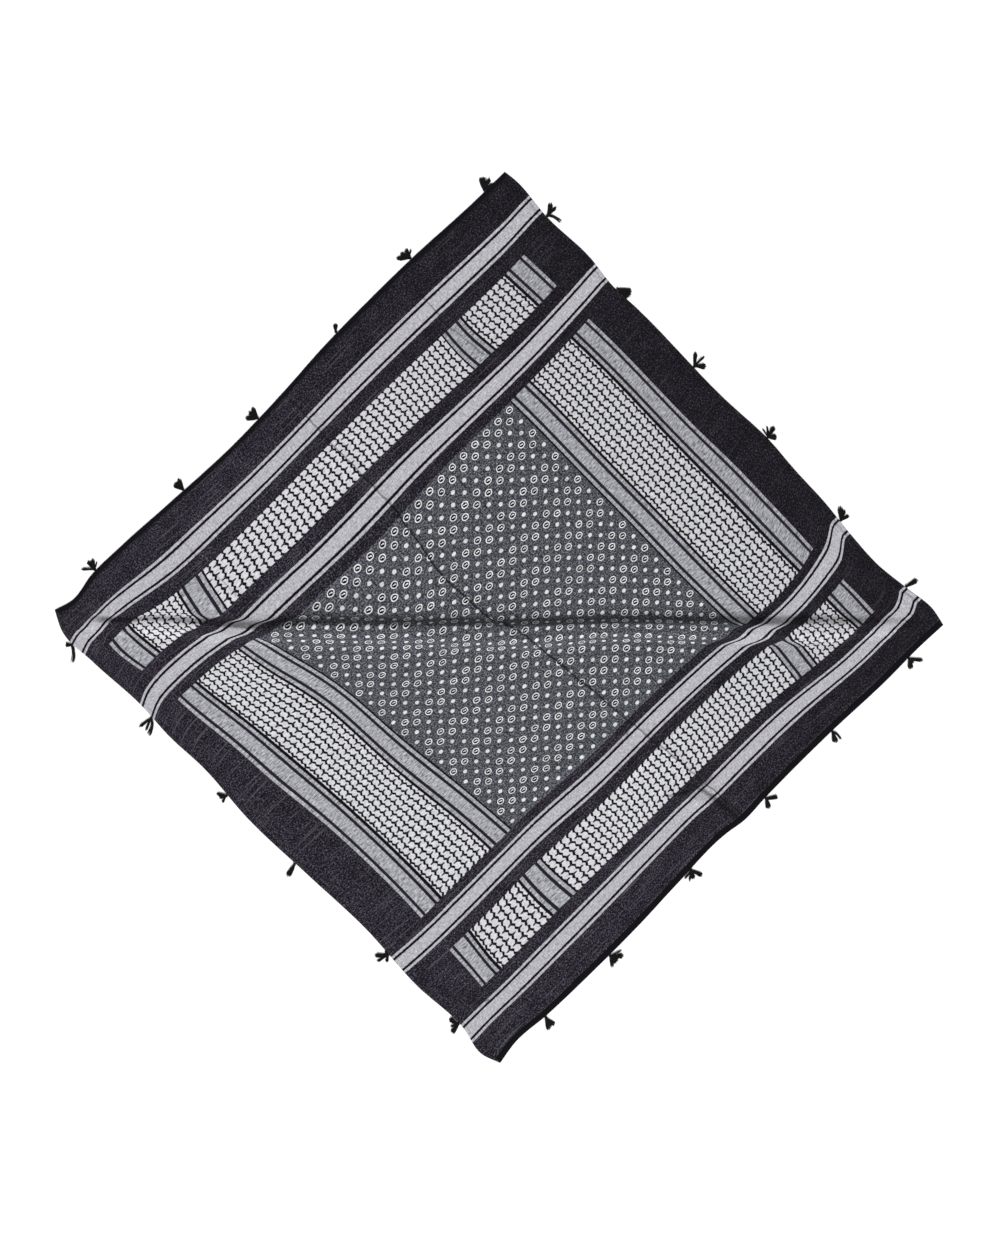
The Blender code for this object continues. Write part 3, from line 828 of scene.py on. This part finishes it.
def make_cloth(material):
    """The woven square: a grid over its inside, placed by laid_plan and relief, with a thin wall."""
    count = CLOTH_CELLS + 1
    inset = {side: width / SIDE * HEM_OVERLAP for side, width in HEM_WIDTHS.items()}
    shares = np.linspace(0, 1, count)
    across, down = gather_rows(*np.meshgrid(shares, shares, indexing="ij"))
    rise = inset["lower_left"] + (1 - inset["upper_right"] - inset["lower_left"]) * across
    fall = inset["upper_left"] + (1 - inset["lower_right"] - inset["upper_left"]) * down
    x, y = laid_plan(rise, fall)
    z = relief(x, y, rise, fall) + CLOTH_LIFT
    weave = rows_of(*thread_place(rise, fall))
    mesh = make_mesh("cloth", rows_of(x, y, z), grid_faces(count, count),
                     {"OFBake": np.clip(weave / SIDE, 0.0, 1.0), "weave": weave})
    cloth = add_piece("cloth", mesh, material, "cloth", "woven_square")
    wall = cloth.modifiers.new("wall", 'SOLIDIFY')
    wall.thickness = CLOTH_WALL
    wall.offset = 1.0
    return cloth


def hem_shares(side, along, depth):
    """Shares of rise and fall for a place along a side, clockwise, and a depth from its cut edge."""
    return {"upper_left": (along, depth), "upper_right": (1 - depth, along),
            "lower_right": (1 - along, 1 - depth), "lower_left": (depth, 1 - along)}[side]


HEM_STEPS, HEM_SECTION = 500, 20  # points along a hem, and round its section
HEM_ROUNDING = (0.6, 0.7)  # powers that square the section off, across and up
HEM_THICK, HEM_UNEVEN, HEM_LIFT = 0.0019, 0.0003, 0.0001
HEM_WAVES = (137.0, 59.0, 1.3)  # how its thickness wanders: two waves along it, and a lag


def make_hem(side, material):
    """A turned hem carried along the edge, mitred at both ends: an ellipse whose cosine and sine are
    raised to powers, as thick as a product of two sines says."""
    widths = list(HEM_WIDTHS.values())
    number = list(HEM_WIDTHS).index(side)
    before, width, after = (widths[(number + step) % len(widths)] for step in (-1, 0, 1))
    along, angle = np.meshgrid(np.linspace(0, 1, HEM_STEPS),
                               np.linspace(0, 2 * math.pi, HEM_SECTION, endpoint=False), indexing="ij")
    across, up = (np.sign(wave) * np.abs(wave)**power
                  for wave, power in zip((np.cos(angle), np.sin(angle)), HEM_ROUNDING))
    depth_share = 0.5 - 0.5 * across
    lift = 0.5 + 0.5 * up
    start = depth_share * before / SIDE
    end = 1 - depth_share * after / SIDE
    place = start + (end - start) * along
    depth = depth_share * width / SIDE
    fast, slow, lag = HEM_WAVES
    thick = HEM_THICK + HEM_UNEVEN * np.sin(place * fast) * np.sin(place * slow + lag)
    rise, fall = hem_shares(side, place, depth)
    x, y = laid_plan(rise, fall)
    mesh = make_mesh("hem_" + side, rows_of(x, y, HEM_LIFT + lift * thick),
                     grid_faces(HEM_STEPS, HEM_SECTION, wrap=True),
                     {"OFBake": rows_of(along, angle / (2 * math.pi)),
                      "weave": rows_of(*thread_place(rise, fall))})
    close_shell(mesh)
    return add_piece("turned_hem_" + side, mesh, material, "hem", "hem_" + side)


# Tassels of each side: distance along it clockwise (mm), then each lock's lean from straight out
# (degrees), reach, breadth at its end and sideways bend of its end (mm)
TASSELS = {"upper_left": [
    (100, [(-42, 26, 4, 0), (6, 21, 7, 0), (35, 21, 5, 0), (63, 16, 2, 0)]),
    (308, [(-15, 20, 12, 0), (19, 22, 8, 0)]),
    (489, [(-45, 23, 9, 0), (-9, 21, 7, 0), (21, 23, 7, 0)]),
    (693, [(41, 16, 8, 0)]),
    (876, [(-48, 26, 8, 0), (-20, 21, 8, 0), (17, 20, 7, 0), (30, 17, 1.5, 5)]),
    (1052, [(35, 25, 14, 0), (69, 25, 6, 0), (96, 22, 3, 0)]),
], "upper_right": [
    (107, [(-31, 26, 8, 0), (-3, 24, 5, 0), (36, 25, 6, 12)]),
    (284, [(68, 27, 19, 0)]),
    (474, [(-43, 27, 7, 0), (-3, 27, 3, 0), (43, 22, 10, 0)]),
    (652, [(-80, 20, 2, 0), (-50, 22, 3, 0), (-15, 23, 8, 0), (46, 17, 11, 0)]),
    (844, [(-55, 26, 9, 0), (-30, 22, 5, 0), (8, 19, 6, 0)]),
    (1007, [(22, 25, 9, 0)]),
], "lower_right": [
    (85, [(-38, 26, 7, 0), (-3, 12, 5, 0), (36, 20, 10, 0)]),
    (272, [(-35, 20, 4, 9), (22, 22, 7, 0), (38, 20, 5, 0)]),
    (438, [(-52, 23, 8, 0), (32, 20, 10, 0)]),
    (621, [(-16, 24, 8, 0), (34, 18, 8, 0), (57, 22, 3, 0), (85, 21, 3, 0)]),
    (829, [(-73, 26, 1.5, 0), (-46, 25, 8, 0), (-3, 18, 12, 0), (34, 22, 6, 0)]),
    (986, [(-5, 22, 9, 0), (28, 25, 8, 0)]),
], "lower_left": [
    (99, [(-12, 21, 9, 0), (25, 17, 3, 0), (73, 20, 9, 0)]),
    (269, [(-40, 14, 5, 0), (12, 25, 4, 0), (40, 25, 8, 0), (104, 11, 6, 0)]),
    (495, [(-13, 26, 10, 0)]),
    (662, [(-18, 16, 4, 0), (28, 15, 6, 0), (52, 20, 6, 0)]),
    (849, [(-72, 29, 7, 14), (-24, 26, 4, 0), (6, 28, 5, 0)]),
    (1037, [(-86, 27, 9, 17), (48, 12, 8, 0)]),
]}
TASSEL_OUT = 0.0022  # a tassel's root beyond the cut edge
LOCK_ROOT = 0.0018  # breadth of a lock where it leaves the knot
LOCK_LEVEL, LOCK_SPREAD = 0.0021, 0.0010  # height of a lock's middle, and how far strands lie off it
LOCK_SINK = 0.0004  # how much it sinks toward its end
LOCK_RAGGED = (-0.09, 0.03)  # how its strands' lengths differ, as shares of its reach
KNOT_REACH = 0.0015  # what the knot takes of a lock's reach
STRAND_WANDER = 0.0006
STRAND_RADIUS = 0.00055
STRAND_STATIONS = 9  # points along a strand
STRANDS_PER_BREADTH = 1700  # strands in a lock for each metre of its breadth
KNOT_OUT, KNOT_ALONG, KNOT_UP = 0.0024, 0.0027, 0.0021  # half sizes of a knot
KNOT_LEVEL = 0.0023  # height of its middle
KNOT_RINGS, KNOT_POINTS = 18, 32
KNOT_TURNS, KNOT_SWELL = 7, 0.06  # how often yarn is wound round it, and how far it stands out
TASSEL_EDGE_STEP = 0.005  # share of a side over which its direction is read


def tassel_frame(side, along_mm):
    """A tassel's root on the cut edge, with the edge's directions clockwise along and straight out."""
    along = along_mm * MM / SIDE
    places = np.array([along - TASSEL_EDGE_STEP, along, along + TASSEL_EDGE_STEP])
    points = np.stack(laid_plan(*hem_shares(side, places, np.zeros(3))), axis=-1)
    run = points[2] - points[0]
    run = run / np.hypot(*run)
    return points[1], run, np.array([-run[1], run[0]])


def strand_tubes(centres, radii, sides=6):
    """Closed tubes round many centre lines at once: a ring of points about each line's place, across
    its sideways direction and straight up, with a point at each end."""
    lines, stations, _ = centres.shape
    heading = np.gradient(centres, axis=1)
    heading /= np.linalg.norm(heading, axis=-1, keepdims=True)
    beside = np.cross(heading, (0.0, 0.0, 1.0))
    beside /= np.linalg.norm(beside, axis=-1, keepdims=True)
    upward = np.cross(beside, heading)
    turn = np.linspace(0, 2 * math.pi, sides, endpoint=False)
    rings = (centres[:, :, None] + radii[:, :, None, None]
             * (beside[:, :, None] * np.cos(turn)[:, None] + upward[:, :, None] * np.sin(turn)[:, None]))
    quads = grid_faces(stations, sides, wrap=True)
    offsets = np.arange(lines)[:, None, None] * stations * sides
    return rings.reshape(-1, 3), (quads[None] + offsets).reshape(-1, 4)


def lock_lines(root, run, out, lock, rng):
    """Middle lines of a lock's strands: straight out at its lean, fanned from its root to its breadth
    by a power of the way out and bent sideways by its square, with ragged lengths and levels."""
    lean, reach, breadth, bend = lock
    lean = math.radians(lean)
    heading = out * math.cos(lean) + run * math.sin(lean)
    beside = run * math.cos(lean) - out * math.sin(lean)
    share = np.linspace(0, 1, STRAND_STATIONS)[None, :]
    count = round(3 + breadth * MM * STRANDS_PER_BREADTH)
    level = rng.uniform(-1, 1, (count, 1))
    spread = np.linspace(-0.5, 0.5, count)[:, None]
    ragged = rng.uniform(*LOCK_RAGGED, (count, 1))
    length = reach * MM * (1 - 0.5 * spread**2 + ragged) - KNOT_REACH
    width = LOCK_ROOT + (breadth * MM - LOCK_ROOT) * share**0.8
    sideways = (spread * width + bend * MM * share**2
                + rng.uniform(-STRAND_WANDER, STRAND_WANDER, (count, 1)) * np.sin(share * 5))
    plan = root[None, None] + heading * (length * share)[..., None] + beside * sideways[..., None]
    height = LOCK_LEVEL + level * LOCK_SPREAD * (1 - 0.3 * share) - LOCK_SINK * share
    return np.concatenate([plan, height[..., None]], axis=-1)


def knot_shell(root, run, out):
    """A wound knot: an ellipsoid whose girth swells and sinks in a spiral."""
    latitude, longitude = np.meshgrid(np.linspace(-0.499 * math.pi, 0.499 * math.pi, KNOT_RINGS),
                                      np.linspace(0, 2 * math.pi, KNOT_POINTS, endpoint=False),
                                      indexing="ij")
    girth = np.cos(latitude) * (1 + KNOT_SWELL * np.cos(KNOT_TURNS * latitude + longitude))
    plan = (root[None, None] + out * (KNOT_OUT * girth * np.cos(longitude))[..., None]
            + run * (KNOT_ALONG * girth * np.sin(longitude))[..., None])
    height = KNOT_LEVEL + KNOT_UP * np.sin(latitude)
    return np.concatenate([plan, height[..., None]], axis=-1).reshape(-1, 3)


def make_tassel(number, side, along_mm, locks, material, rng):
    """A tassel of cut yarn: a wound knot at the hem, and locks of strands that fan and bend from it."""
    edge, run, out = tassel_frame(side, along_mm)
    root = edge + out * TASSEL_OUT
    centres = np.concatenate([lock_lines(root, run, out, lock, rng) for lock in locks])
    taper = STRAND_RADIUS * np.clip((1.03 - np.linspace(0, 1, STRAND_STATIONS)) * 7, 0.35, 1)
    points, quads = strand_tubes(centres, np.broadcast_to(taper, centres.shape[:2]))
    knot_quads = grid_faces(KNOT_RINGS, KNOT_POINTS, wrap=True) + len(points)
    name = f"yarn_tassel_{number:02d}"
    mesh = make_mesh(name, np.concatenate([points, knot_shell(root, run, out)]),
                     np.concatenate([quads, knot_quads]))
    close_shell(mesh)
    mesh.shade_smooth()
    return add_piece(name, mesh, material, "tassel", f"tassel_{number:02d}")


# --- Studio ---

FLOOR_REACH, FLOOR_LEVEL = 6, -0.0003
FLOOR_GREY = 0.93
SKY_STRENGTH = 0.42
SUN_STRENGTH = 3.4
SUN_BREADTH = math.radians(30)
CAMERA_PLACE = (0.0017, -0.0131, 3.036)
LENS, SENSOR = 50.0, 36.0
SUN_HEIGHT = math.radians(50)
SUN_TURN = math.radians(8)


def make_studio():
    """A pale floor, soft light from all round, a broad sun low on the near side, and the camera above."""
    floor_mesh = bpy.data.meshes.new("floor")
    corners = ((-1, -1), (1, -1), (1, 1), (-1, 1))
    floor_mesh.from_pydata([(x * FLOOR_REACH, y * FLOOR_REACH, FLOOR_LEVEL) for x, y in corners], [],
                           [(0, 1, 2, 3)])
    floor = add_object("floor", floor_mesh)
    material = bpy.data.materials.new("pale_floor")
    material.use_nodes = True
    surface = material.node_tree.nodes["Principled BSDF"]
    surface.inputs["Base Color"].default_value = (FLOOR_GREY, FLOOR_GREY, FLOOR_GREY, 1.0)
    surface.inputs["Roughness"].default_value = 0.9
    floor_mesh.materials.append(material)

    world = bpy.data.worlds.new("studio")
    bpy.context.scene.world = world
    world.use_nodes = True
    sky = world.node_tree.nodes["Background"].inputs
    sky["Color"].default_value = (1.0, 1.0, 1.0, 1.0)
    sky["Strength"].default_value = SKY_STRENGTH

    sun = bpy.data.lights.new("key", 'SUN')
    sun.energy = SUN_STRENGTH
    sun.angle = SUN_BREADTH
    toward = Vector((math.sin(SUN_TURN) * math.cos(SUN_HEIGHT),
                     -math.cos(SUN_TURN) * math.cos(SUN_HEIGHT), math.sin(SUN_HEIGHT)))
    add_object("key", sun).rotation_euler = toward.to_track_quat('Z', 'Y').to_euler()

    lens = bpy.data.cameras.new("camera")
    lens.lens = LENS
    lens.sensor_fit = 'VERTICAL'
    lens.sensor_height = SENSOR
    camera = add_object("camera", lens)
    camera.location = CAMERA_PLACE
    bpy.context.scene.camera = camera
    bpy.context.scene.view_settings.view_transform = 'Standard'


YARN_SEED = 24


def main():
    """Studio, materials, then the cloth with its hems and tassels, all on one body."""
    make_studio()
    stroke = build_stroke_group()
    groups = {"stroke": stroke, "band": build_band_group(), "check": build_check_group(stroke),
              "motif": build_motif_group(stroke), "threads": build_thread_group()}
    cotton = make_cloth_material(groups)
    hem_cotton = make_hem_material(groups)
    yarn = make_yarn_material()
    cloth = make_cloth(cotton)
    finishes = {"upper_left": hem_cotton, "upper_right": cotton, "lower_right": hem_cotton,
                "lower_left": cotton}
    hems = [make_hem(side, finishes[side]) for side in HEM_WIDTHS]
    rng = np.random.default_rng(YARN_SEED)
    places = [(side, *row) for side, rows in TASSELS.items() for row in rows]
    tassels = [make_tassel(number, *place, yarn, rng) for number, place in enumerate(places, start=1)]


main()
